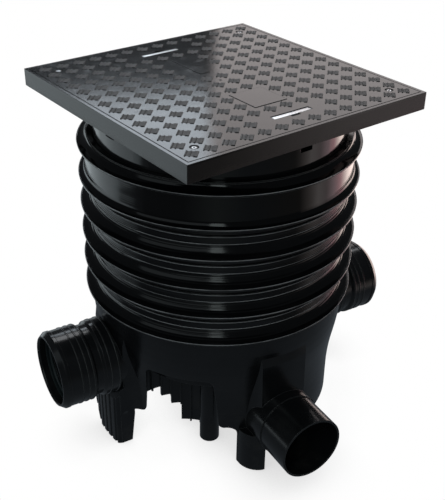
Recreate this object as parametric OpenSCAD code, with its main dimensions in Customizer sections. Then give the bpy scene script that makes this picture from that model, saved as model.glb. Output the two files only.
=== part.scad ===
// Drain inspection chamber: moulded base with one outlet and three inlets, finned riser,
// collar, telescopic neck with a square frame, and a screwed tread cover.
// Z is up. The origin is on the bedding, on the axis of the shaft. The outlet points to -Y.

/* [Cover and frame] */
// Height of the top of the cover above the bedding
cover_top_z = 890; // [880:1:920]
// Side of the square frame
cover_side = 650; // [646:1:680]
// Depth of the frame
cover_h = 40; // [36:1:46]
// Turn of the cover against the pipes, in degrees
cover_turn = 7.1; // [0:0.1:12]
// Width of the frame rim seen around the cover plate
frame_rim = 8.5; // [6:0.5:12]
// Gap between the cover plate and the frame
lid_gap = 1.5; // [1:0.25:3]
// Thickness of the cover plate
lid_t = 16; // [12:1:18]
// Depth of the ribs under the cover plate
lid_rib_h = 14; // [8:1:20]
// Thickness of the cover gasket
gasket_t = 3; // [2:0.5:4]
// Thickness of the frame flange that carries the cover
seat_t = 10; // [8:1:12]

/* [Tread pattern] */
// Distance between neighbouring tread groups
tread_pitch = 44.5; // [40:0.5:45]
// Length of one tread bar
tread_len = 25; // [20:1:28]
// Width of a thin tread bar
tread_thin = 2.6; // [2:0.2:3]
// Width of the broad tread bar
tread_broad = 7.5; // [6:0.5:9]
// Height of the tread bars
tread_h = 1.2; // [0.8:0.1:2]

/* [Neck] */
// Outer diameter of the telescopic neck
neck_od = 591; // [585:0.5:592]
// Wall of the neck
neck_wall = 6; // [5:0.5:8]
// Length of the neck under the frame flange
neck_len = 262; // [220:1:300]

/* [Riser and collar] */
// Diameter of the fins
fin_d = 664; // [655:1:680]
// Height of the lowest fin rim above the bedding
fin_first_z = 391.8; // [390:0.1:394]
// Distance from fin to fin
fin_pitch = 73.2; // [70:0.1:75]
// Thickness of a fin at its rim
fin_rim_t = 4; // [3:0.5:6]
// Inner diameter of the riser
riser_id = 596; // [595:0.5:600]
// Wall of the riser
riser_wall = 5; // [4:0.5:6]
// Outer diameter of the plain wall of the collar
collar_od = 634; // [632:1:644]
// Height of the collar, from its lower to its upper rim
collar_h = 80; // [74:1:90]

/* [Base] */
// Outer diameter of the base wall below the sweep
base_od = 588; // [582:1:592]
// Outer diameter of the base at its top
base_top_od = 638; // [636:1:650]
// Wall of the base
base_wall = 6; // [5:0.5:8]
// Height of the lower edge of the wall beside the windows
wall_foot_z = 114; // [96:1:118]
// Height of the lower edge of the wall in the closed quarters
wall_low_z = 62; // [50:1:90]
// Height of the top of the side windows
window_top_z = 266; // [250:1:272]
// Height of the chamber floor at its rim
floor_z = 208; // [205:1:214]
// Width of a leg under a side inlet
leg_w = 152; // [146:1:160]
// Reach of the legs and fairings from the shaft axis
fairing_reach = 338; // [332:1:339]
// Outer width over the pair of legs beside the outlet
outlet_leg_w = 198; // [190:1:206]
// Gap between the two legs beside the outlet
outlet_gap = 108; // [100:1:112]

/* [Pipes] */
// Outer diameter of the pipes that the chamber takes
pipe_od = 160; // [158:1:162]
// Wall of the outlet spigot and of the stubs
pipe_wall = 5; // [4:0.5:6]
// Height of the outlet axis
outlet_z = 132; // [126:1:134]
// Reach of the outlet from the shaft axis
outlet_reach = 442; // [440:1:450]
// Rise of the main inlet axis over the outlet axis
main_fall = 8; // [0:1:12]
// Reach of the main inlet from the shaft axis
main_reach = 488; // [487:1:500]
// Height of the side inlet axes
side_z = 236; // [230:1:240]
// Reach of the side inlets from the shaft axis
side_reach = 466; // [455:1:480]
// Length of a push-on socket
socket_len = 146; // [142:1:148]
// Radial clearance between a pipe and the bore of its socket
socket_gap = 0.4; // [0.2:0.1:0.5]

/* [Hidden] */
$fn = 96;
e = 0.01;
big = 2000;

// cover and frame
cover_bottom_z = cover_top_z - cover_h;
lid_side = cover_side - 2 * (frame_rim + lid_gap);
seat_z = cover_top_z - lid_t - gasket_t;
skirt_t = 6;
gasket_w = 12;
screw_at = 6 * tread_pitch;
screw_head_r = 8;
screw_head_h = 5;
screw_r = 4;
screw_len = 40;
insert_r = 7;
insert_len = 18;
boss_r = 14;
slot_len = 104;
slot_w = 15;
slot_at = 243;
slot_notch_w = 24;
slot_notch_d = 8;
slot_depth = 11;
bar_drop = 2.5;
bar_h = 5;
bar_w = 8;
near_plate = [88, 90, -133];
far_plate = [28, 122, 119];
plate_h = 1;
thin_bars = 2;
tread_step = (tread_len - tread_broad) / thin_bars;
peep_r = 3;

// neck
neck_r = neck_od / 2;
neck_top_z = seat_z - seat_t;
neck_bottom_z = neck_top_z - neck_len;
neck_window_w = 32;
neck_window_h = 20;

// riser and collar
neck_gap = 2;
mouth_h = 18;
mouth_wall = 5;
neck_seal_h = 10;
neck_travel = 40;
neck_least_out = 7;
fin_room = cover_bottom_z - neck_least_out - neck_travel - mouth_h - collar_h - fin_first_z;
fins = 1 + floor(fin_room / fin_pitch);
fin_r = fin_d / 2;
riser_r = riser_id / 2 + riser_wall;
bead_out = 4;
bead_h = 18;
bead_drop = 30;
collar_foot_z = fin_first_z + (fins - 1) * fin_pitch;
collar_top_z = collar_foot_z + collar_h;
collar_wall = 6;
collar_shelf_t = 8;
riser_top_z = collar_top_z - collar_shelf_t;
riser_spigot = 46;

// base
base_r = base_od / 2;
base_top_r = base_top_od / 2;
base_top_z = fin_first_z - fin_rim_t;
sweep_z = 130;
sweep_top_z = base_top_z + 2;
sweep_mid_z = (sweep_z + sweep_top_z) / 2;
sweep_out = base_top_r - base_r;
sweep_r = (pow(sweep_top_z - sweep_mid_z, 2) + pow(sweep_out / 2, 2)) / sweep_out;
sweep_steps = 10;
drum_r = 250;
drum_gap = base_r - base_wall - drum_r;
side_cut_r = drum_r + drum_gap * 4 / 19;
outlet_cut_r = drum_r + drum_gap * 5 / 19;
seat_step_z = fin_first_z - fin_rim_t - riser_spigot;
window_half_a = 16.5;
window_a = -138;
window_corner = 16;
window_draft = 4.5;
foot_corner = 14;
cavity_top_z = window_top_z + 10;
side_front = 2 * 75;
side_corner = 14;
side_foot_a = 26.4;
outlet_front = 2 * 62;
outlet_corner = 30;
outlet_foot_a = 19.7;
fairing_top_z = 345;
foot_round = 28;
side_foot_round = 24;
outlet_leg_r = 55;
flute_r = 4.5;
flute_a = 3.65;
post_r = 25;
post_at = [112, 158];
keel_len = 130;
channel_r = pipe_od / 2 - pipe_wall - 3;
channel_wall = 5;
bend_r = 230;
rib_t = 4;
rib_out = 5;
step_wall = 9;
step_a = 10;
step_fall = 31;
step_first_z = 148;
step_low_z = 30;
leg_cut_y = 20;
leg_cut_z = 100;
leg_from_r = base_r - 2 * base_wall;
leg_front_t = 16;
leg_to_r = fairing_reach - leg_front_t - 1;

// pipes and sockets
pipe_r = pipe_od / 2;
main_z = outlet_z + main_fall;
side_stubs = [[180, side_z, side_reach], [0, side_z, side_reach]];
stubs = [[180, side_z, side_reach], [0, side_z, side_reach], [90, main_z, main_reach]];
shoulder_r = pipe_r + 5;
stub_in = 48;
sleeve_r = pipe_r + 9;
bell_r = pipe_r + 15;
cap_len = 20;
cap_mouth_r = pipe_r + 7.5;
stop_t = 4;
seal_len = 15;
seal_r = bell_r - 4;
socket_lines = [2, 22, 66, 80, 96];

// A shape drawn in (radius, height) turned about the shaft axis
module turned() rotate_extrude($fn = 180) children();

// A trumpet flare in (radius, height): from wall radius r0 out to the rim r1 at height z
module flare_2d(r0, r1, z) {
    sweep = r1 - r0;
    difference() {
        translate([r0 - 1, z - fin_rim_t]) square([sweep + 1, sweep + fin_rim_t]);
        translate([r1, z + sweep]) circle(sweep);
    }
}

// Where a pipe leaves: local Z runs out along the pipe, at angle a and height z
module along_pipe(a, z) translate([0, 0, z]) rotate([0, 0, a]) rotate([0, 90, 0]) children();

// Length of pipe from the drum wall out to the given reach
module pipe_run(a, z, r, reach) along_pipe(a, z) translate([0, 0, drum_r - 24])
    cylinder(r = r, h = reach - drum_r + 24);

// A turned ring given as (distance along the pipe, radius) pairs
module pipe_ring(points) rotate_extrude($fn = 120) polygon([for (p = points) [p[1], p[0]]]);

// ---- chamber base ----

// Radius of the base wall at height z, inset by t: hollow over the lower half of its sweep, full over the upper
function wall_r(z, t) = z < sweep_mid_z
    ? base_r + sweep_r - sqrt(pow(sweep_r + t, 2) - pow(z - sweep_z, 2))
    : base_top_r - sweep_r + sqrt(pow(sweep_r - t, 2) - pow(sweep_top_z - z, 2));

// The base wall in (radius, height), filled, from bottom to top and inset by t
module base_wall_2d(t, bottom, top) {
    h = sweep_top_z - sweep_z;
    intersection() {
        translate([0, bottom]) square([base_top_r + 10, top - bottom]);
        polygon(concat([[0, -50], [base_r - t, -50], [base_r - t, sweep_z]],
            [for (i = [1 : sweep_steps]) let (z = sweep_z + h * i / sweep_steps) [wall_r(z, t), z]],
            [[base_top_r - t, base_top_z + 20], [0, base_top_z + 20]]));
    }
}

// Outer limit of the fairings in (radius, height), inset by t
module fairing_2d(t, bottom) {
    f = fairing_reach - t;
    polygon([[0, bottom], [f, bottom], [f, side_z - 96], [f - 15, side_z - 51], [f - 17, side_z + 4],
        [f - 19, side_z + 67], [f - 25, fairing_top_z - t], [0, fairing_top_z - t]]);
}

// Centre of a rounded front corner of a fairing
function corner_at(half_w, c) = [sqrt(pow(fairing_reach - c, 2) - pow(half_w - c, 2)), half_w - c];

// Radius of the hollow side of a fairing: it runs from the corner at q to the wall at angle phi
function hollow_side(q, c, phi, r) =
    let (k = q[0] * cos(phi) + q[1] * sin(phi)) (2 * r * k - r * r - q * q + c * c) / (2 * (r - k - c));

// Plan of a fairing along +X: a front with rounded corners and hollow sides, inset by t
module fairing_plan(half_w, corner, phi, t) {
    r = base_r - 4;
    c = corner - 0.6;
    q = corner_at(half_w, c);
    rho = hollow_side(q, c, phi, r);
    centre = [(r + rho) * cos(phi), (r + rho) * sin(phi)];
    p = q + (centre - q) * (corner - t) / norm(centre - q);
    foot = [r * cos(phi), r * sin(phi) - t];
    difference() {
        union() {
            polygon([[foot[0] - 60, -foot[1]], [foot[0], -foot[1]], [p[0], -p[1]], [q[0], -q[1]], [q[0] + 60, -q[1]],
                [q[0] + 60, q[1]], [q[0], q[1]], [p[0], p[1]], [foot[0], foot[1]], [foot[0] - 60, foot[1]]]);
            for (s = [-1, 1]) translate([q[0], s * q[1]]) circle(corner - t);
        }
        for (s = [-1, 1]) translate([centre[0], s * centre[1]]) circle(rho + t);
    }
}

// Body of the wall with its four fairings, filled, inset by t
module filled_wall(t, bottom, top) {
    turned() base_wall_2d(t, bottom, top);
    intersection() {
        union() {
            for (a = [0, 180]) rotate([0, 0, a]) translate([0, 0, bottom])
                linear_extrude(big) fairing_plan(side_front / 2, side_corner, side_foot_a, t);
            for (a = [-90, 90]) rotate([0, 0, a]) translate([0, 0, bottom])
                linear_extrude(big) fairing_plan(outlet_front / 2, outlet_corner, outlet_foot_a, t);
        }
        turned() fairing_2d(t, bottom);
        cylinder(r = big, h = min(top, fairing_top_z + 1));
    }
}

// Opening low in the wall between two legs, in the quarter of +X and +Y; its upper corners are rounded
module low_opening(top) {
    x0 = outlet_leg_w / 2;
    y0 = leg_w / 2;
    far = 200;
    rx = foot_round;
    ry = side_foot_round;
    translate([x0 + rx, y0 + ry, -1]) cube([300, 300, top + 1]);
    translate([far, y0, -1]) cube([200, ry + 1, top - ry + 1]);
    translate([far, y0 + ry, top - ry]) rotate([0, 90, 0]) cylinder(r = ry, h = 200);
    translate([x0, far, -1]) cube([rx + 1, 200, top - rx + 1]);
    translate([x0 + rx, far, top - rx]) rotate([-90, 0, 0]) cylinder(r = rx, h = 200);
}

// Half width of the window at height z
function window_w(z) = base_r * sin(window_half_a) + (window_top_z - z) * tan(window_draft);

// Window above a low opening, in (width, height): it widens downwards, and its lower ends round off the wall
module window_2d() {
    z1 = window_top_z - window_corner;
    z2 = wall_foot_z + foot_corner;
    c1 = window_w(z1) - window_corner;
    c2 = window_w(z2) + foot_corner;
    polygon([[-window_w(2), 2], [window_w(2), 2], [window_w(z1), z1], [-window_w(z1), z1]]);
    translate([-c1, z1 - 1]) square([2 * c1, window_corner + 1]);
    for (s = [-1, 1]) {
        translate([s * c1, z1]) circle(window_corner);
        difference() {
            polygon([[s * (window_w(z2) - 2), wall_foot_z - 2], [s * c2, wall_foot_z - 2], [s * c2, z2],
                [s * (window_w(z2) - 2), z2]]);
            translate([s * c2, z2]) circle(foot_corner + 0.1);
        }
    }
}

module side_window(a) rotate([0, 0, a]) translate([side_cut_r, 0, 0]) rotate([90, 0, 90])
    linear_extrude(120) window_2d();

// Sides and thick front of a leg under a side inlet, drawn along +X
module side_leg() {
    h = side_z - pipe_r;
    half = leg_w / 2;
    intersection() {
        union() {
            for (y = [half, -half + base_wall]) translate([0, y, 0]) rotate([90, 0, 0]) linear_extrude(base_wall)
                polygon([[leg_from_r + 10, 0], [leg_to_r, 0], [leg_to_r, h], [leg_from_r, h],
                    [leg_from_r, wall_foot_z - 30]]);
            translate([fairing_reach - leg_front_t, -half + side_corner, 0])
                cube([60, leg_w - 2 * side_corner, h]);
            translate([leg_from_r, -half + 1, h - base_wall]) cube([60, leg_w - 2, base_wall]);
        }
        turned() fairing_2d(0, 0);
    }
}

// Where the round corner of a leg beside the outlet is centred
function outlet_leg_at() = let (x = outlet_leg_w / 2 - outlet_leg_r)
    [x, sqrt(pow(fairing_reach - outlet_leg_r + 0.6, 2) - x * x)];

// Legs beside the outlet, drawn towards +X: round shells, or the space in them when inset is the wall
module outlet_legs(inset) for (s = [-1, 1]) intersection() {
    translate([outlet_leg_at()[1], s * outlet_leg_at()[0], inset > 0 ? -1 : 0])
        cylinder(r = outlet_leg_r - inset, h = wall_foot_z - 6 - inset + (inset > 0 ? 1 : 0));
    translate([base_r - base_wall - 10, s > 0 ? outlet_gap / 2 + 1 : -200, -5])
        cube([200, 199 - outlet_gap / 2, 200]);
    turned() fairing_2d(inset, -10);
}

// Slanting end of a side leg
module leg_cut() translate([leg_from_r - 12, 0, 0]) rotate([90, 0, 90]) linear_extrude(120)
    polygon([[-leg_w / 2 - 1, -1], [-leg_cut_y, -1], [-leg_w / 2 - 1, leg_cut_z]]);

// Wall, fairings and legs
module outer_shell() {
    difference() {
        union() {
            filled_wall(0, 0, base_top_z);
            for (a = [-90, 90]) rotate([0, 0, a]) outlet_legs(0);
        }
        filled_wall(base_wall, -1, cavity_top_z);
        for (a = [-90, 90]) rotate([0, 0, a]) outlet_legs(base_wall);
        for (a = [window_a, window_a + 180]) side_window(a);
        for (a = [0, 180]) rotate([0, 0, a]) {
            low_opening(wall_foot_z);
            mirror([0, 1, 0]) low_opening(wall_low_z);
            leg_cut();
            translate([-outlet_gap / 2, outlet_cut_r, -1]) cube([outlet_gap, 200, wall_foot_z + 1]);
        }
    }
    for (a = [0, 180]) rotate([0, 0, a]) difference() {
        side_leg();
        leg_cut();
    }
    intersection() {
        for (p = side_stubs) along_pipe(p[0], p[1]) translate([0, 0, p[2] - socket_len - 8])
            cylinder(r = bell_r + 6, h = 60);
        turned() fairing_2d(0, 0);
    }
}

// Outer body of the channels under the floor, or their inside when inset is the wall
module channels(inset) {
    r = channel_r + channel_wall - inset;
    rise = inset > 0 ? big / 4 : 0;
    // main run from the main inlet to the outlet, falling evenly
    main_run(r, rise);
    // side runs, each a bend that falls from its inlet into the main run
    for (side = [0, 1]) mirror([side, 0, 0]) side_run(r, rise);
}

// Straight main channel; rise opens it upwards
module main_run(r, rise) {
    fall_a = atan(main_fall / (2 * drum_r));
    translate([0, 0, (outlet_z + main_z) / 2]) rotate([90 + fall_a, 0, 0]) {
        translate([0, 0, -base_r]) cylinder(r = r, h = 2 * base_r);
        translate([-r, 0, -drum_r]) cube([2 * r, floor_z - outlet_z + rise, 2 * drum_r]);
    }
}

// Side channel: a tilted quarter bend about the corner between its inlet and the outlet
module side_run(r, rise) {
    tilt = atan((side_z - outlet_z) / (bend_r * sqrt(2)));
    translate([-bend_r, -bend_r, (side_z + outlet_z) / 2]) rotate(a = tilt, v = [1, 1, 0]) {
        rotate_extrude(angle = 90, $fn = 120) translate([bend_r, 0]) circle(r, $fn = 60);
        if (rise > 0) rotate_extrude(angle = 90, $fn = 120) translate([bend_r - r, 0]) square([2 * r, rise]);
    }
}

// Stepped and ribbed skirt under the inner side of a side channel; it reaches lower towards the outlet
module side_skirt() {
    for (i = [-1 : 5]) {
        a = 82 - i * step_a;
        r = bend_r - pipe_r - 4 + i * 0.3;
        bottom = i < 3 ? step_first_z - max(i, 0) * step_fall : step_low_z;
        translate([-bend_r, -bend_r, bottom]) rotate([0, 0, a]) {
            rotate_extrude(angle = step_a + 0.5) translate([r, 0]) square([step_wall, floor_z + 10 - bottom]);
            translate([r - rib_out, 0, -2]) cube([rib_out + 3, rib_t, floor_z + 10 - bottom]);
        }
    }
}

// Space inside the chamber above its floor
module chamber_inside() {
    r = drum_r - base_wall;
    turned() polygon([[0, floor_z - 41], [r, floor_z + 5], [r, cavity_top_z + 9],
        [base_r - base_wall - 1, cavity_top_z + 28],
        [base_r - base_wall - 1, seat_step_z + 1], [0, seat_step_z + 1]]);
    translate([0, 0, seat_step_z - 12]) cylinder(r = riser_id / 2 - 3, h = big, $fn = 180);
}

// Ribs that carry the main channel on the bedding
module keel() {
    translate([-3, -keel_len / 2, 0]) cube([6, keel_len, outlet_z - channel_r + 10]);
    translate([-keel_len / 4, -3, 0]) cube([keel_len / 2, 6, outlet_z - channel_r + 10]);
}

module chamber_base() color([0.09, 0.1, 0.11]) {
    difference() {
        union() {
            outer_shell();
            // drum, floor and the channels under it
            turned() polygon([[0, floor_z - 48], [drum_r, floor_z - 2], [drum_r, cavity_top_z + 24],
                [0, cavity_top_z + 24]]);
            intersection() {
                union() {
                    channels(0);
                    for (side = [0, 1]) mirror([side, 0, 0]) side_skirt();
                }
                cylinder(r = base_r - 8, h = floor_z + 60);
            }
            keel();
            // stubs and the outlet spigot
            pipe_run(-90, outlet_z, pipe_r, outlet_reach);
            pipe_run(-90, outlet_z, pipe_r + 2.5, fairing_reach + 8);
            for (p = stubs) {
                pipe_run(p[0], p[1], shoulder_r, p[2] - socket_len - 1);
                pipe_run(p[0], p[1], pipe_r, p[2] - socket_len + stub_in);
            }
            for (x = [-1, 1]) for (y = [-1, 1])
                translate([x * post_at[0], y * post_at[1], 0]) cylinder(r = post_r, h = floor_z);
        }
        chamber_inside();
        intersection() {
            channels(channel_wall);
            cylinder(r = drum_r - base_wall, h = big);
        }
        pipe_run(-90, outlet_z, pipe_r - pipe_wall, big);
        for (p = stubs) pipe_run(p[0], p[1], pipe_r - pipe_wall, big);
        for (x = [-1, 1]) for (y = [-1, 1])
            translate([x * post_at[0], y * post_at[1], -1]) cylinder(r = post_r - pipe_wall, h = floor_z - 60);
        // seats of the side sockets
        for (p = side_stubs) along_pipe(p[0], p[1]) translate([0, 0, p[2] - socket_len - 1.5]) difference() {
            cylinder(r = bell_r + 2, h = 200);
            translate([0, 0, -1]) cylinder(r = pipe_r, h = 250);
        }
        // flutes down the fronts of the side legs
        for (a = [0, 180]) for (i = [-3 : 3])
            rotate([0, 0, a + i * flute_a]) translate([fairing_reach + 0.5, 0, -1])
                cylinder(r = flute_r, h = side_z - bell_r + 4);
        // socket for the riser
        translate([0, 0, seat_step_z]) cylinder(r = riser_r + 6, h = big, $fn = 180);
    }
}

// ---- riser, collar and their seals ----

module riser() color([0.1, 0.11, 0.12]) {
    turned() difference() {
        union() {
            translate([riser_id / 2, seat_step_z]) square([riser_wall, riser_top_z - seat_step_z]);
            for (i = [0 : fins - 2]) {
                flare_2d(riser_r, fin_r, fin_first_z + i * fin_pitch);
                translate([riser_r - 1, fin_first_z + (i + 1) * fin_pitch - bead_drop - bead_h])
                    square([bead_out + 1, bead_h]);
            }
        }
        translate([0, seat_step_z - 1]) square([riser_id / 2, big]);
    }
}

// Ring seal with two lips on its inside, between the riser foot and the base
module riser_seal() color([0.05, 0.05, 0.05]) {
    turned() difference() {
        translate([riser_r, seat_step_z + 12]) square([6, 16]);
        translate([riser_r - e, seat_step_z + 18]) square([3, 4]);
    }
}

module collar() color([0.1, 0.11, 0.12]) {
    outer = collar_od / 2;
    turned() difference() {
        union() {
            translate([neck_r + neck_gap, collar_foot_z - fin_rim_t])
                square([outer - neck_r - neck_gap, collar_h + fin_rim_t - 1]);
            flare_2d(outer, fin_r, collar_foot_z);
            translate([neck_r + neck_gap, collar_top_z - collar_shelf_t])
                square([fin_r - neck_r - neck_gap, collar_shelf_t]);
            translate([neck_r + neck_gap, collar_top_z - 1])
                square([neck_seal_h + mouth_wall - 4, mouth_h + 1]);
            translate([0, collar_top_z]) flare_top_2d(neck_r + neck_gap + neck_seal_h + mouth_wall - 4, fin_r);
        }
        // inside of the plain wall, open below
        translate([0, collar_foot_z - fin_rim_t - 1])
            square([outer - collar_wall, collar_h - collar_shelf_t + fin_rim_t + 1]);
        // groove of the neck seal
        translate([0, collar_top_z - collar_shelf_t + 6]) square([neck_r + neck_seal_h, neck_seal_h]);
        // under the upper fin
        translate([outer, collar_top_z - collar_shelf_t - 1]) square([fin_r, collar_shelf_t + 1 - fin_rim_t]);
    }
}

// Concave sweep from the collar mouth out to the upper fin
module flare_top_2d(r0, r1) {
    difference() {
        translate([r0 - 1, -1]) square([r1 - r0 + 1, mouth_h - 2]);
        translate([r1, r1 - r0]) circle(r1 - r0);
    }
}

module collar_seal() color([0.05, 0.05, 0.05]) {
    turned() difference() {
        translate([riser_r, riser_top_z - 34]) square([collar_od / 2 - collar_wall - riser_r, 16]);
        translate([riser_r - e, riser_top_z - 28]) square([3, 4]);
    }
}

// Lip seal between the neck and the collar
module neck_seal() color([0.05, 0.05, 0.05]) {
    turned() difference() {
        translate([neck_r + 0.3, collar_top_z - collar_shelf_t + 6]) square([neck_seal_h - 0.3, neck_seal_h]);
        translate([neck_r, collar_top_z - collar_shelf_t + 6 + neck_seal_h / 2 - 1.5]) square([4, 3]);
    }
}

// ---- telescopic neck, frame and cover ----

module on_cover() rotate([0, 0, cover_turn]) children();

module square_block(side, z0, z1) translate([-side / 2, -side / 2, z0]) cube([side, side, z1 - z0]);

module at_screws() for (x = [-1, 1]) for (y = [-1, 1]) translate([x * screw_at, y * screw_at, 0]) children();

module cover_frame() color([0.12, 0.13, 0.14]) on_cover() {
    difference() {
        union() {
            difference() {
                square_block(cover_side, cover_bottom_z, cover_top_z);
                square_block(cover_side - 2 * frame_rim, seat_z, cover_top_z + 1);
                square_block(cover_side - 2 * skirt_t, cover_bottom_z - 1, seat_z - seat_t);
            }
            translate([0, 0, neck_bottom_z]) cylinder(r = neck_r, h = neck_len + 1, $fn = 180);
            // stiffening webs between the neck and the skirt
            difference() {
                for (a = [0 : 15 : 345]) rotate([0, 0, a]) translate([neck_r - 3, -2, cover_bottom_z])
                    cube([cover_side, 4, seat_z - cover_bottom_z - 1]);
                difference() {
                    square_block(3 * cover_side, 0, big);
                    square_block(cover_side - 1, -1, big + 1);
                }
            }
            at_screws() translate([0, 0, cover_bottom_z]) cylinder(r = boss_r, h = seat_z - cover_bottom_z - 1);
        }
        translate([0, 0, neck_bottom_z - 1]) cylinder(r = neck_r - neck_wall, h = big, $fn = 180);
        at_screws() translate([0, 0, seat_z - insert_len]) cylinder(r = insert_r, h = insert_len + 1, $fn = 36);
        at_screws() translate([0, 0, cover_bottom_z - 1]) cylinder(r = screw_r + 0.5, h = cover_h, $fn = 36);
        for (a = [0 : 90 : 270]) rotate([0, 0, a])
            translate([neck_r - 20, -neck_window_w / 2, cover_bottom_z - neck_window_h - 8])
            cube([40, neck_window_w, neck_window_h]);
    }
}

module lid_gasket() color([0.05, 0.05, 0.05]) on_cover() difference() {
    square_block(lid_side - 2, seat_z, seat_z + gasket_t);
    square_block(lid_side - 2 - 2 * gasket_w, seat_z - 1, seat_z + gasket_t + 1);
}

// One tread group in plan: thin bars and a broad one, all lying on the diagonal
module tread_group() rotate(45) {
    for (i = [0 : thin_bars - 1]) translate([-tread_len / 2, tread_len / 2 - tread_thin - i * tread_step])
        square([tread_len, tread_thin]);
    translate([-tread_len / 2, -tread_len / 2]) square([tread_len, tread_broad]);
}

// Places that stay free of tread: the plates and the lifting slots
function over_plate(p, x, y) = abs(x) < p[0] / 2 + 6 && abs(y - p[2]) < p[1] / 2 + 4;
function over_slot(x, y) = abs(abs(y) - slot_at) < tread_pitch / 2 && abs(x) < 1.6 * tread_pitch;
function tread_here(x, y) = !over_plate(near_plate, x, y) && !over_plate([60, 124, 119], x, y)
    && !over_slot(x, y) && abs(x) + tread_len * 0.71 < lid_side / 2 && abs(y) + tread_len * 0.71 < lid_side / 2;

module slot_cut(w_extra, z0) {
    translate([-slot_len / 2, -slot_w / 2, z0]) cube([slot_len, slot_w, cover_h]);
    translate([-slot_notch_w / 2, -slot_w / 2 - slot_notch_d, z0]) cube([slot_notch_w, slot_notch_d + 1, cover_h]);
}

module at_slots() for (a = [0, 180]) rotate([0, 0, a]) translate([0, -slot_at, 0]) children();

module cover_lid() color([0.16, 0.17, 0.18]) on_cover() {
    bottom = cover_top_z - lid_t;
    difference() {
        union() {
            square_block(lid_side, bottom, cover_top_z);
            // tread
            n = floor(lid_side / 2 / tread_pitch) + 1;
            translate([0, 0, cover_top_z - 1]) linear_extrude(1 + tread_h)
                for (i = [-n : n - 1]) for (j = [-n : n - 1]) {
                x = (i + 0.5) * tread_pitch;
                y = (j + 0.5) * tread_pitch;
                if (tread_here(x, y)) translate([x, y]) tread_group();
            }
            // raised plates left bare
            for (p = [near_plate, far_plate]) translate([-p[0] / 2, p[2] - p[1] / 2, cover_top_z - 1])
                cube([p[0], p[1], 1 + plate_h]);
            // ribs under the plate, inside the neck
            intersection() {
                union() for (i = [-3 : 3]) {
                    translate([i * 80 - 2.5, -cover_side / 2, bottom - lid_rib_h])
                        cube([5, cover_side, lid_rib_h + 1]);
                    translate([-cover_side / 2, i * 80 - 2.5, bottom - lid_rib_h])
                        cube([cover_side, 5, lid_rib_h + 1]);
                }
                translate([0, 0, bottom - lid_rib_h]) cylinder(r = neck_r - neck_wall - 8, h = lid_rib_h + 1);
            }
        }
        at_screws() translate([0, 0, bottom - 1]) cylinder(r = screw_r + 0.5, h = cover_h, $fn = 36);
        at_screws() translate([0, 0, cover_top_z - screw_head_h - 1])
            cylinder(r = screw_head_r + 1.5, h = cover_h, $fn = 36);
        at_slots() slot_cut(0, cover_top_z - slot_depth);
        translate([0, 0, bottom - lid_rib_h - 1]) cylinder(r = peep_r, h = big, $fn = 36);
    }
}

module cover_screws() color([0.8, 0.81, 0.82]) on_cover() at_screws() {
    head_z = cover_top_z - screw_head_h - 1;
    difference() {
        union() {
            translate([0, 0, head_z]) cylinder(r = screw_head_r, h = screw_head_h, $fn = 48);
            translate([0, 0, head_z - screw_len + lid_t])
                cylinder(r = screw_r, h = screw_len - lid_t + 1, $fn = 36);
        }
        translate([0, 0, head_z + 2]) cylinder(r = 3, h = screw_head_h, $fn = 6);
    }
}

module frame_inserts() color([0.75, 0.62, 0.3]) on_cover() at_screws() difference() {
    translate([0, 0, seat_z - insert_len]) cylinder(r = insert_r, h = insert_len, $fn = 36);
    translate([0, 0, seat_z - insert_len - 1]) cylinder(r = screw_r, h = insert_len + 2, $fn = 36);
}

module lifting_bars() color([0.8, 0.81, 0.82]) on_cover() at_slots()
    translate([-slot_len / 2, slot_w / 2 - bar_w, cover_top_z - bar_drop - bar_h])
        cube([slot_len, bar_w, bar_h]);

// ---- push-on sockets ----

// Socket body; it starts at distance s0 along the pipe
module socket_body(s0) {
    s1 = s0 + socket_len;
    bore = pipe_r + socket_gap;
    difference() {
        union() {
            pipe_ring([[s0, 0], [s0, bell_r], [s0 + 36, bell_r], [s0 + 42, sleeve_r],
                [s0 + 58, sleeve_r], [s0 + 64, bell_r], [s1 - cap_len, bell_r], [s1 - cap_len, 0]]);
            for (z = socket_lines) translate([0, 0, s0 + z]) cylinder(r = bell_r + 1.4, h = 3, $fn = 120);
        }
        // stub side, stop and pipe side
        translate([0, 0, s0 - 1]) cylinder(r = bore, h = stub_in + 2, $fn = 120);
        translate([0, 0, s0]) cylinder(r = pipe_r - pipe_wall + 1, h = socket_len, $fn = 120);
        translate([0, 0, s0 + stub_in + 1 + stop_t]) cylinder(r = bore, h = socket_len, $fn = 120);
        // grooves of the two seals
        translate([0, 0, s0 + 14]) cylinder(r = sleeve_r - 3, h = 10, $fn = 120);
        translate([0, 0, s1 - cap_len - seal_len]) cylinder(r = seal_r, h = seal_len + 1, $fn = 120);
    }
}

module socket_seal(s0) {
    s1 = s0 + socket_len;
    g0 = s1 - cap_len - seal_len;
    lip = pipe_r + socket_gap;
    pipe_ring([[g0, lip + 2], [g0, seal_r], [s1 - cap_len, seal_r], [s1 - cap_len, seal_r - 3],
        [s1 - cap_len - 3, seal_r - 4], [s1 - cap_len - 3, seal_r - 6], [s1 - cap_len, lip + 3],
        [s1 - cap_len, lip], [s1 - cap_len - 3, lip], [g0 + 7, lip + 2], [g0 + 4, lip], [g0 + 2, lip]]);
}

module socket_cap(s0) {
    s1 = s0 + socket_len;
    pipe_ring([[s1 - cap_len, bell_r - 6], [s1 - cap_len, bell_r + 1.5], [s1 - cap_len + 8, bell_r + 1.5],
        [s1, cap_mouth_r], [s1, cap_mouth_r - 3.5], [s1 - 5, pipe_r + 2], [s1 - cap_len, pipe_r + 2]]);
}

module stub_seal(s0) {
    lip = pipe_r;
    pipe_ring([[s0 + 14, lip], [s0 + 14, sleeve_r - 3], [s0 + 24, sleeve_r - 3], [s0 + 24, lip],
        [s0 + 21, lip], [s0 + 19, lip + 2], [s0 + 17, lip]]);
}

side_s0 = side_reach - socket_len;
main_s0 = main_reach - socket_len;
plastic = [0.09, 0.1, 0.11];
rubber = [0.04, 0.04, 0.04];

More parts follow.
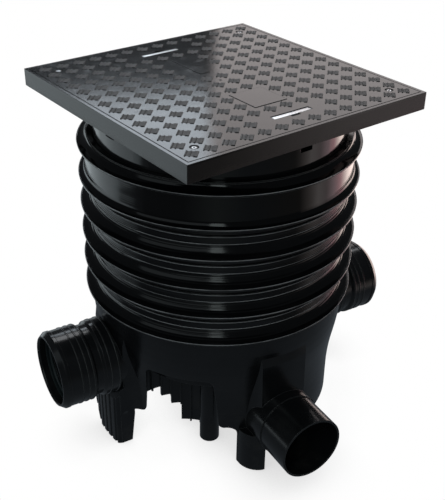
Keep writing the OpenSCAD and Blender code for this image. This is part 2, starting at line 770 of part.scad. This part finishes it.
module left_socket() color(plastic) along_pipe(180, side_z) socket_body(side_s0);
module left_socket_seal() color(rubber) along_pipe(180, side_z) socket_seal(side_s0);
module left_socket_cap() color(plastic) along_pipe(180, side_z) socket_cap(side_s0);
module left_stub_seal() color(rubber) along_pipe(180, side_z) stub_seal(side_s0);
module right_socket() color(plastic) along_pipe(0, side_z) socket_body(side_s0);
module right_socket_seal() color(rubber) along_pipe(0, side_z) socket_seal(side_s0);
module right_socket_cap() color(plastic) along_pipe(0, side_z) socket_cap(side_s0);
module right_stub_seal() color(rubber) along_pipe(0, side_z) stub_seal(side_s0);
module main_socket() color(plastic) along_pipe(90, main_z) socket_body(main_s0);
module main_socket_seal() color(rubber) along_pipe(90, main_z) socket_seal(main_s0);
module main_socket_cap() color(plastic) along_pipe(90, main_z) socket_cap(main_s0);
module main_stub_seal() color(rubber) along_pipe(90, main_z) stub_seal(main_s0);

chamber_base();
riser();
riser_seal();
collar();
collar_seal();
neck_seal();
cover_frame();
lid_gasket();
cover_lid();
cover_screws();
frame_inserts();
lifting_bars();
left_socket();
left_socket_seal();
left_socket_cap();
left_stub_seal();
right_socket();
right_socket_seal();
right_socket_cap();
right_stub_seal();
main_socket();
main_socket_seal();
main_socket_cap();
main_stub_seal();
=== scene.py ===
import math

import bmesh
import bpy
from mathutils import Matrix, Vector


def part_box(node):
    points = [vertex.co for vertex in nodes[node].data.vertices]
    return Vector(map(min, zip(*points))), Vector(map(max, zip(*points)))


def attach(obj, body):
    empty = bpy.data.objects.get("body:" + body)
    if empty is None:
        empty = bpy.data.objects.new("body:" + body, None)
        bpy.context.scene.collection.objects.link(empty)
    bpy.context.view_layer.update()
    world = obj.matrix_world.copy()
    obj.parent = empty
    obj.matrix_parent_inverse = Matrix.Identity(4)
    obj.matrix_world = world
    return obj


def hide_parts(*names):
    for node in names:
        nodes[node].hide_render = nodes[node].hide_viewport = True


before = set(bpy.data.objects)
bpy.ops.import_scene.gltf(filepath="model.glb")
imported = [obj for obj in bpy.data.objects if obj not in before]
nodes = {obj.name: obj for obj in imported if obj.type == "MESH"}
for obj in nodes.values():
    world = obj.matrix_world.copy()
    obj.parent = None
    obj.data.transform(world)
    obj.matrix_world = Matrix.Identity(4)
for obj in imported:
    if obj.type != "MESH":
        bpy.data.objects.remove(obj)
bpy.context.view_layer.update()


# ---- shader maths ----

class Value:
    """One socket of a material, with the sums and products that the finishes use."""

    def __init__(self, finish, socket):
        self.finish, self.socket = finish, socket

    def _math(self, kind, a, b=None, clamp=False):
        inputs = [a] if b is None else [a, b]
        return self.finish.node("ShaderNodeMath", dict(operation=kind, use_clamp=clamp), inputs)

    def __add__(self, other):
        return self._math("ADD", self, other)

    def __sub__(self, other):
        return self._math("SUBTRACT", self, other)

    def __rsub__(self, other):
        return self._math("SUBTRACT", other, self)

    def __mul__(self, other):
        return self._math("MULTIPLY", self, other)

    def __truediv__(self, other):
        return self._math("DIVIDE", self, other)

    def __pow__(self, other):
        return self._math("POWER", self, other)

    def __gt__(self, other):
        return self._math("GREATER_THAN", self, other)

    def most(self, other):
        return self._math("MAXIMUM", self, other)

    def floor(self):
        return self._math("FLOOR", self)

    def size(self):
        return self._math("ABSOLUTE", self)

    def sine(self):
        return self._math("SINE", self)

    def held(self):
        """The same value, kept from nought to one."""
        return self._math("ADD", self, 0.0, clamp=True)

    def span(self, low, high, to_low=0.0, to_high=1.0):
        """Runs smoothly from to_low to to_high while this value runs from low to high."""
        ends = {"Value": self, "From Min": low, "From Max": high, "To Min": to_low, "To Max": to_high}
        return self.finish.node("ShaderNodeMapRange", dict(interpolation_type="SMOOTHSTEP"), ends)


class Finish:
    """A material under construction."""

    def __init__(self, name):
        self.material = bpy.data.materials.new(name)
        self.material.use_nodes = True
        self.tree = self.material.node_tree
        self.tree.nodes.clear()
        self.output = self.tree.nodes.new("ShaderNodeOutputMaterial")

    def put(self, socket, value):
        if isinstance(value, Value):
            self.tree.links.new(value.socket, socket)
        elif isinstance(value, (tuple, list)) and socket.type == "RGBA" and len(value) == 3:
            socket.default_value = (*value, 1)
        else:
            socket.default_value = value

    def node(self, kind, settings=None, inputs=(), out=0):
        made = self.tree.nodes.new(kind)
        for key, value in (settings or {}).items():
            if key == "stops":
                ramp = made.color_ramp.elements
                ramp[0].position, ramp[0].color = value[0][0], (*value[0][1], 1)
                ramp[1].position, ramp[1].color = value[-1][0], (*value[-1][1], 1)
                for place, colour in value[1:-1]:
                    ramp.new(place).color = (*colour, 1)
            else:
                setattr(made, key, value)
        pairs = inputs.items() if isinstance(inputs, dict) else enumerate(inputs)
        for key, value in pairs:
            self.put(made.inputs[key], value)
        return Value(self, made.outputs[out])

    def place(self):
        return self.node("ShaderNodeTexCoord", out="Object")

    def axes(self):
        split = self.tree.nodes.new("ShaderNodeSeparateXYZ")
        self.put(split.inputs[0], self.place())
        return [Value(self, split.outputs[i]) for i in range(3)]

    def noise(self, scale, detail, rough, stretch=(1, 1, 1)):
        spot = self.node("ShaderNodeMapping", {}, {"Vector": self.place(), "Scale": stretch})
        look = {"Vector": spot, "Scale": scale, "Detail": detail, "Roughness": rough}
        return self.node("ShaderNodeTexNoise", {}, look)

    def blend(self, factor, a, b):
        """Colour a, turning to colour b as the factor rises."""
        mix = self.tree.nodes.new("ShaderNodeMix")
        mix.data_type = "RGBA"
        self.put(mix.inputs[0], factor)
        self.put(mix.inputs[6], a)
        self.put(mix.inputs[7], b)
        return Value(self, mix.outputs[2])

    def bump(self, height, strength, distance, normal=None):
        inputs = {"Height": height, "Strength": strength, "Distance": distance}
        if normal is not None:
            inputs["Normal"] = normal
        return self.node("ShaderNodeBump", {}, inputs)

    def rounded(self, radius):
        return self.node("ShaderNodeBevel", dict(samples=6), {"Radius": radius})

    def edge_mask(self, radius, low=0.02, high=0.35):
        """One along the edges, where the rounded normal leaves the true one."""
        true = self.tree.nodes.new("ShaderNodeNewGeometry").outputs["Normal"]
        dot = self.tree.nodes.new("ShaderNodeVectorMath")
        dot.operation = "DOT_PRODUCT"
        self.tree.links.new(self.rounded(radius).socket, dot.inputs[0])
        self.tree.links.new(true, dot.inputs[1])
        return (1.0 - Value(self, dot.outputs["Value"])).span(low, high)

    def surface(self, **inputs):
        shader = self.node("ShaderNodeBsdfPrincipled", {}, {k.replace("_", " "): v for k, v in inputs.items()})
        self.tree.links.new(shader.socket, self.output.inputs["Surface"])
        return self.material


# ---- finishes ----

# The cover is turned on the chamber. Its lengths run along its own sides, in metres from its middle.
COVER_TURN = math.radians(7.1)
TREAD_PITCH = 0.0445
TREAD_HALF = 0.0128
SLOT_AT = 0.243
SCREW_AT = 0.267
# Treads whose middle lies in one of these are left out: centre and half size
BARE = [
    (0.0, -0.133, 0.050, 0.049),
    (0.0, 0.119, 0.036, 0.066),
    (0.0, -SLOT_AT, 0.0712, 0.02225),
    (0.0, SLOT_AT, 0.0712, 0.02225),
]
# The neck's finish turns into that of the frame's sides between these heights
FRAME_FOOT = (0.8385, 0.8415)
RING_STEP = 0.0046
HALF_ROOT = 0.7071


def along_cover(x, y):
    """The same place, measured along the cover's own sides."""
    return (x * math.cos(COVER_TURN) + y * math.sin(COVER_TURN),
            y * math.cos(COVER_TURN) - x * math.sin(COVER_TURN))


def moulded_plastic(name, colour, rough, dust=0.25, edge=0.002, ripple=0.25, ribbed=0.0, edge_highlight_grey=0.11):
    """Glossy moulded plastic: sink ripples, scuffs, dust low down, edges paled as a painted highlight and, if
    ribbed, fine rings.
    """
    f = Finish(name)
    z = f.axes()[2]
    cloud = f.noise(7.0, 4.0, 0.55)
    scuffs = f.noise(60.0, 3.0, 0.6, stretch=(1, 1, 0.12)).span(0.6, 0.76)
    specks = f.noise(420.0, 2.0, 0.5).span(0.70, 0.76)
    low = z.span(0.28, 0.0)
    dusty = (f.noise(16.0, 5.0, 0.6).span(0.45, 0.75) * (low * 0.9 + 0.1) * dust).held()
    body = f.blend(cloud.span(0.35, 0.7) * 0.6, colour, [c * 1.7 for c in colour])
    body = f.blend(dusty, body, (0.10, 0.095, 0.085))
    body = f.blend(specks * dust * 0.6, body, (0.14, 0.135, 0.125))
    # Painted highlight: the edges are paled to stand for thin lines of reflected light.
    body = f.blend(f.edge_mask(edge, 0.03, 0.30) * 0.9, body, (edge_highlight_grey, edge_highlight_grey, edge_highlight_grey))
    waves = f.noise(9.0, 2.0, 0.4, stretch=(1, 1, 0.55))
    normal = f.bump(waves, ripple, 0.004, f.rounded(edge))
    if ribbed:
        uneven = f.noise(40.0, 2.0, 0.5, stretch=(0.1, 0.1, 1)).span(0.3, 0.6)
        rings = (z * (math.tau / RING_STEP)).sine() * uneven
        normal = f.bump(rings, ribbed, 0.00012, normal)
    normal = f.bump(f.noise(260.0, 2.0, 0.5), 0.03, 0.0006, normal)
    dull = cloud * 0.06 + scuffs * 0.1 + dusty * 0.3 + (rough - 0.03)
    return f.surface(Base_Color=body, Roughness=dull.held(), Normal=normal, IOR=1.47)


def tread_cells(f, x, y):
    """One inside the tread squares, bars and grooves alike, and nought on the rest of the cover."""
    u, v = along_cover(x, y)

    def middle(value):
        return (value / TREAD_PITCH).floor() * TREAD_PITCH + TREAD_PITCH / 2

    cu, cv = middle(u), middle(v)
    p, q = u - cu, v - cv
    corner = ((p + q) * HALF_ROOT).size().most(((p - q) * HALF_ROOT).size())
    inside = corner.span(TREAD_HALF, TREAD_HALF - 0.0012)
    for cx, cy, wide, deep in BARE:
        inside = inside * ((cu - cx).size() - wide).most((cv - cy).size() - deep).span(-0.0001, 0.0001)
    return inside * cu.size().most(cv.size()).span(0.2960, 0.2940)


def cover_plastic(name, top):
    """Glossy black, with rougher tread squares darkened as painted shade, edges paled as a painted highlight
    and brown grime on the frame's satin sides.
    """
    f = Finish(name)
    x, y, z = f.axes()
    upper = z.span(top - 0.006, top - 0.003)
    side = z.span(*FRAME_FOOT) * (1.0 - upper)
    tread = tread_cells(f, x, y) * upper
    cloud = f.noise(5.0, 4.0, 0.6)
    grain = f.noise(900.0, 2.0, 0.5)
    patches = f.noise(38.0, 4.0, 0.6).span(0.5, 0.75)
    body = f.blend(cloud.span(0.3, 0.7), (0.008, 0.0085, 0.0095), (0.015, 0.015, 0.016))
    body = f.blend(patches * upper * 0.3, body, (0.04, 0.04, 0.042))
    # Painted shade: the tread squares, grooves included, are darkened for their duller look.
    body = f.blend(tread * 0.9, body, (0.004, 0.004, 0.0045))
    # Painted highlight: the edges are paled to stand for thin lines of reflected light.
    body = f.blend(f.edge_mask(0.0016) * 0.6, body, (0.09, 0.09, 0.09))
    grime = side * z.span(top - 0.022, top - 0.046) * f.noise(14.0, 4.0, 0.6).span(0.3, 0.6)
    body = f.blend(grime * 0.7, body, (0.016, 0.011, 0.009))
    normal = f.bump(grain, upper * 0.03, 0.0005, f.rounded(0.0014))
    normal = f.bump(f.noise(6.0, 2.0, 0.4), 0.12, 0.003, normal)
    rough = upper * (patches * 0.05 + tread * 0.38) + side * 0.14 + grime * 0.15 + cloud * 0.05 + 0.075
    return f.surface(Base_Color=body, Roughness=rough.held(), Normal=normal, IOR=1.5)


def sealing_rubber(name, colour, rough):
    f = Finish(name)
    bloom = f.noise(30.0, 4.0, 0.6)
    body = f.blend(bloom.span(0.4, 0.75) * 0.5, colour, [c * 1.8 + 0.004 for c in colour])
    normal = f.bump(f.noise(700.0, 2.0, 0.5), 0.3, 0.0004, f.rounded(0.0008))
    return f.surface(Base_Color=body, Roughness=(bloom * 0.2 + rough - 0.1).held(), Normal=normal)


def turned_metal(name, colour, rough):
    f = Finish(name)
    marks = f.noise(500.0, 2.0, 0.5, stretch=(1, 1, 6))
    stain = f.noise(60.0, 3.0, 0.6).span(0.45, 0.7)
    body = f.blend(stain * 0.5, colour, [c * 0.6 for c in colour])
    return f.surface(Base_Color=body, Metallic=1.0, Roughness=(marks * 0.15 + stain * 0.15 + rough).held(),
                     Normal=f.bump(marks, 0.15, 0.0003, f.rounded(0.0006)))


def screw_metal(name):
    """Bright screw heads with a dull rim, darkened as painted shade of a countersunk hole."""
    f = Finish(name)
    x, y = f.axes()[:2]
    along, across = along_cover(x, y)
    u, v = along.size() - SCREW_AT, across.size() - SCREW_AT
    # Painted shade: a dark, non-metal ring round each head stands for the shade in its countersink.
    shaded_rim = ((u * u + v * v) ** 0.5).span(0.0042, 0.0056)
    marks = f.noise(700.0, 2.0, 0.5)
    body = f.blend(shaded_rim, (0.74, 0.75, 0.77), (0.05, 0.05, 0.05))
    dull = marks * 0.15 + shaded_rim * 0.3 + 0.2
    return f.surface(Base_Color=body, Metallic=1.0 - shaded_rim * 0.8, Roughness=dull.held(),
                     Normal=f.bump(marks, 0.1, 0.0003, f.rounded(0.0006)))


cover_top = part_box("cover_frame")[1].z
black = moulded_plastic("glossy_black_plastic", (0.010, 0.0106, 0.0118), rough=0.20)
socket_black = moulded_plastic("socket_black_plastic", (0.013, 0.0138, 0.0152), rough=0.17,
                               dust=0.3, ripple=0.4, edge_highlight_grey=0.2)
ring_black = moulded_plastic("ringed_black_plastic", (0.006, 0.0063, 0.007), rough=0.13,
                             dust=0.1, edge=0.0016, ripple=0.15, ribbed=1.6, edge_highlight_grey=0.34)
collar_black = moulded_plastic("collar_black_plastic", (0.0035, 0.0037, 0.0042), rough=0.10,
                               dust=0.06, edge=0.0016, ripple=0.15, ribbed=0.5, edge_highlight_grey=0.34)
neck_black = cover_plastic("satin_cover_plastic", cover_top)
rubber = sealing_rubber("black_rubber", (0.006, 0.006, 0.006), 0.6)
lip_rubber = sealing_rubber("grey_lip_rubber", (0.03, 0.042, 0.045), 0.42)
steel = turned_metal("bright_steel", (0.72, 0.73, 0.75), 0.25)
brass = turned_metal("turned_brass", (0.68, 0.5, 0.22), 0.3)

finish_of = {
    "riser": ring_black, "collar": collar_black, "cover_frame": neck_black, "cover_lid": neck_black,
    "cover_screws": screw_metal("screw_steel"), "lifting_bars": steel, "frame_inserts": brass,
    "riser_seal": rubber, "collar_seal": rubber, "neck_seal": rubber, "lid_gasket": rubber,
}
for name, obj in nodes.items():
    finish = finish_of.get(name, black)
    if name.endswith("_socket") or name.endswith("socket_cap"):
        finish = socket_black
    elif name.endswith("socket_seal"):
        finish = lip_rubber
    elif name.endswith("stub_seal"):
        finish = rubber
    obj.data.materials.clear()
    obj.data.materials.append(finish)


# ---- new pieces ----

def smooth_piece(name, bm, finish):
    """Turns a bmesh into an object with a smooth surface and one finish."""
    bmesh.ops.remove_doubles(bm, verts=bm.verts, dist=1e-6)
    bmesh.ops.recalc_face_normals(bm, faces=bm.faces)
    mesh = bpy.data.meshes.new(name)
    bm.to_mesh(mesh)
    bm.free()
    for face in mesh.polygons:
        face.use_smooth = True
    obj = bpy.data.objects.new(name, mesh)
    obj.data.materials.append(finish)
    bpy.context.collection.objects.link(obj)
    return obj


# The lifting bars, in the full width of their slots
BAR_SIZE = (0.103, 0.0132, 0.005)
BAR_ROUND = 0.0016
BAR_RISE = 0.0014


def bar_mesh(bm, x, y, z):
    """A rounded steel bar along the cover's side, with its middle at x, y and its top at z."""
    made = bmesh.ops.create_cube(bm, size=1.0)["verts"]
    bmesh.ops.scale(bm, verts=made, vec=BAR_SIZE)
    edges = list({e for v in made for e in v.link_edges})
    out = bmesh.ops.bevel(bm, geom=edges, offset=BAR_ROUND, offset_type="OFFSET", segments=4, profile=0.5,
                          affect="EDGES", clamp_overlap=True, material=-1)
    grown = list({v for f in out["faces"] for v in f.verts} | {v for v in made if v.is_valid})
    bmesh.ops.rotate(bm, verts=grown, cent=(0, 0, 0), matrix=Matrix.Rotation(COVER_TURN, 3, "Z"))
    bmesh.ops.translate(bm, verts=grown, vec=(x, y, z - BAR_SIZE[2] / 2))


def slot_bars():
    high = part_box("lifting_bars")[1]
    bm = bmesh.new()
    for away in (-SLOT_AT, SLOT_AT):
        bar_mesh(bm, -away * math.sin(COVER_TURN), away * math.cos(COVER_TURN), high.z + BAR_RISE)
    bars = smooth_piece("slot_bars", bm, steel)
    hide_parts("lifting_bars")
    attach(bars, "neck")


slot_bars()


# Thin beads on the edges of the fins, of the raised bands between them and of the collar, pale as a painted
# highlight, in metres
FINS = [0.3918 + i * 0.0732 for i in range(5)]
COLLAR_TOP_EDGE = 0.7642
FIN_RADIUS = 0.3317
BAND_RADIUS = 0.3067
FIN_DROP = 0.0004
BAND_DROPS = (0.0304, 0.0476)
EDGE_WIRE = 0.0009


def highlight_edge_finish(name):
    """Pale, scuffed plastic on a moulded edge, painted as a highlight line that comes and goes along it."""
    f = Finish(name)
    patches = f.noise(9.0, 4.0, 0.6).span(0.3, 0.62)
    # Painted highlight: the beads run from pale grey to near white.
    body = f.blend(patches, (0.16, 0.16, 0.164), (0.62, 0.62, 0.63))
    return f.surface(Base_Color=body, Roughness=(f.noise(300.0, 2.0, 0.5) * 0.2 + 0.25).held(),
                     Normal=f.bump(f.noise(500.0, 2.0, 0.5), 0.2, 0.0003), IOR=1.5)


def edge_rings(name, circles, finish):
    """Fine round edges, one for each (radius, height), all round the upright axis."""
    bm = bmesh.new()
    for radius, height in circles:
        upright = Matrix.Translation((radius, 0, height)) @ Matrix.Rotation(math.pi / 2, 4, "X")
        ring = bmesh.ops.create_circle(bm, segments=8, radius=EDGE_WIRE, matrix=upright)["verts"]
        edges = list({e for v in ring for e in v.link_edges})
        bmesh.ops.spin(bm, geom=ring + edges, cent=(0, 0, 0), axis=(0, 0, 1), dvec=(0, 0, 0), angle=math.tau,
                       steps=192, use_merge=True)
    obj = smooth_piece(name, bm, finish)
    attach(obj, "chamber")


edge_highlight_finish = highlight_edge_finish("painted_highlight_edge")
fin_circles = [(FIN_RADIUS, z - FIN_DROP) for z in FINS[:4]]
band_circles = [(BAND_RADIUS, z - drop) for z in FINS[1:] for drop in BAND_DROPS]
edge_rings("riser_edges", fin_circles + band_circles, edge_highlight_finish)
edge_rings("collar_edges", [(FIN_RADIUS, FINS[4] - FIN_DROP), (FIN_RADIUS, COLLAR_TOP_EDGE)], edge_highlight_finish)


# ---- floor, light and camera ----

def seen_white(f):
    """One for what the camera sees directly or through glass, else nought."""
    path = f.tree.nodes.new("ShaderNodeLightPath")
    camera, through = (Value(f, path.outputs[k]) for k in ("Is Camera Ray", "Is Transmission Ray"))
    return (camera + through).held()


# What the floor further out sends back to the object, by direction: (degrees round from +X, colour)
FLOOR_GLOW = [
    (-180, (0.05, 0.055, 0.06)), (-146, (0.06, 0.065, 0.07)), (-122, (0.14, 0.16, 0.16)),
    (-98, (0.08, 0.09, 0.1)), (-56, (0.08, 0.075, 0.07)), (-46, (0.42, 0.37, 0.35)),
    (-38, (0.75, 0.68, 0.66)), (-28, (0.5, 0.42, 0.42)), (-18, (0.95, 0.7, 0.74)), (-7, (1.5, 0.85, 0.9)),
    (-1, (2.2, 1.7, 1.6)), (6, (3.0, 2.45, 2.25)), (18, (2.7, 2.2, 2.0)), (30, (1.6, 1.35, 1.3)),
    (48, (0.9, 0.85, 0.82)), (72, (0.35, 0.37, 0.4)), (92, (0.5, 0.56, 0.58)), (108, (0.85, 0.96, 1.0)),
    (148, (0.82, 0.93, 0.98)), (154, (0.6, 0.7, 0.74)), (158, (0.1, 0.11, 0.12)), (180, (0.05, 0.055, 0.06)),
]
GLOW_PEAK = 3.0
GLOW_FROM, GLOW_FULL = 0.75, 1.35
NEAR_FLOOR = (0.032, 0.037, 0.042)
FLOOR_HALF = 9.0


def studio_floor():
    """White to the camera, with a faint shadow at the feet; to the object dark near by and glowing far out."""
    f = Finish("pale_floor")
    x, y = f.axes()[:2]
    out = (x * x + y * y) ** 0.5
    around = f.node("ShaderNodeMath", dict(operation="ARCTAN2"), [y, x])
    around = around - out.span(1.68, 1.82) * (around > 2.0) * 0.28
    ramp = [((a + 180) / 360, [c / GLOW_PEAK for c in colour]) for a, colour in FLOOR_GLOW]
    glow = f.node("ShaderNodeValToRGB", dict(stops=ramp), [around * (0.5 / math.pi) + 0.5])
    glow = f.blend(out.span(GLOW_FROM, GLOW_FULL), NEAR_FLOOR, glow)
    shine = f.node("ShaderNodeEmission", {}, {"Color": glow, "Strength": GLOW_PEAK})
    near = f.node("ShaderNodeAmbientOcclusion", dict(samples=8), {"Distance": 0.16}, out=1)
    tone = near.span(0.0, 1.0, 0.62, 1.0)
    shade = f.node("ShaderNodeCombineXYZ", {}, [tone, tone, tone])
    white = f.node("ShaderNodeEmission", {}, {"Color": shade, "Strength": 1.0})
    mix = f.node("ShaderNodeMixShader", {}, [seen_white(f), shine, white])
    f.tree.links.new(mix.socket, f.output.inputs["Surface"])
    mesh = bpy.data.meshes.new("floor")
    bm = bmesh.new()
    bmesh.ops.create_grid(bm, x_segments=2, y_segments=2, size=FLOOR_HALF)
    bm.to_mesh(mesh)
    bm.free()
    floor = bpy.data.objects.new("floor", mesh)
    floor.data.materials.append(f.material)
    bpy.context.collection.objects.link(floor)


def lamp(name, azimuth, elevation, distance, width, height, radiance, colour, aim=(0, 0, 0.55)):
    """A soft rectangular lamp that looks at the object from the given direction, in degrees."""
    a, e = math.radians(azimuth), math.radians(elevation)
    away = Vector((math.cos(a) * math.cos(e), math.sin(a) * math.cos(e), math.sin(e)))
    data = bpy.data.lights.new(name, "AREA")
    data.shape, data.size, data.size_y = "RECTANGLE", width, height
    data.energy, data.color = radiance * math.pi * width * height, colour
    obj = bpy.data.objects.new(name, data)
    obj.location = Vector(aim) + away * distance
    obj.rotation_mode = "QUATERNION"
    obj.rotation_quaternion = away.to_track_quat("Z", "Y")
    bpy.context.collection.objects.link(obj)


def studio():
    world = bpy.data.worlds.new("studio")
    bpy.context.scene.world = world
    world.use_nodes = True
    tree = world.node_tree
    tree.nodes.clear()
    path = tree.nodes.new("ShaderNodeLightPath")
    dim, white = tree.nodes.new("ShaderNodeBackground"), tree.nodes.new("ShaderNodeBackground")
    dim.inputs[0].default_value, dim.inputs[1].default_value = (0.55, 0.6, 0.65, 1), 0.08
    white.inputs[0].default_value, white.inputs[1].default_value = (1, 1, 1, 1), 1.0
    mix, out = tree.nodes.new("ShaderNodeMixShader"), tree.nodes.new("ShaderNodeOutputWorld")
    tree.links.new(path.outputs["Is Camera Ray"], mix.inputs[0])
    tree.links.new(dim.outputs[0], mix.inputs[1])
    tree.links.new(white.outputs[0], mix.inputs[2])
    tree.links.new(mix.outputs[0], out.inputs[0])
    top = (0, 0, 0.89)
    lamp("window_behind_left", 69, 25.9, 9.0, 2.5, 1.6, 2.9, (0.84, 0.92, 1.0), top)
    lamp("window_behind_right", 49, 20.5, 9.0, 3.3, 2.6, 1.3, (1.0, 0.92, 0.91), top)
    lamp("window_behind_above", 57, 52, 4.0, 3.2, 1.6, 3.0, (0.95, 0.97, 1.0))
    lamp("soft_room_front", -160, 38, 4.5, 4.5, 2.4, 0.3, (0.86, 0.97, 1.0))
    lamp("tall_window_front", -121.5, 34, 3.4, 0.55, 3.0, 1.5, (0.88, 1.0, 1.0))


# The photograph's view, in millimetres, metres and degrees
LENS = 62.43
CAMERA_AT = (-0.9601, -1.6234, 1.5594)
HEADING, TILT, ROLL = 59.06, -30.63, 0.97


def camera():
    data = bpy.data.cameras.new("camera")
    data.sensor_width, data.lens = 36.0, LENS
    data.clip_start, data.clip_end = 0.05, 60.0
    cam = bpy.data.objects.new("camera", data)
    a, p, roll = math.radians(HEADING), math.radians(TILT), math.radians(ROLL)
    ahead = Vector((math.cos(a) * math.cos(p), math.sin(a) * math.cos(p), math.sin(p)))
    right = Vector((math.sin(a), -math.cos(a), 0))
    up = right.cross(ahead)
    side = right * math.cos(roll) + up * math.sin(roll)
    top = side.cross(ahead)
    turn = Matrix((side, top, -ahead)).transposed()
    cam.matrix_world = Matrix.Translation(CAMERA_AT) @ turn.to_4x4()
    bpy.context.collection.objects.link(cam)
    bpy.context.scene.camera = cam


studio_floor()
studio()
camera()
bpy.context.scene.view_settings.view_transform = "Standard"
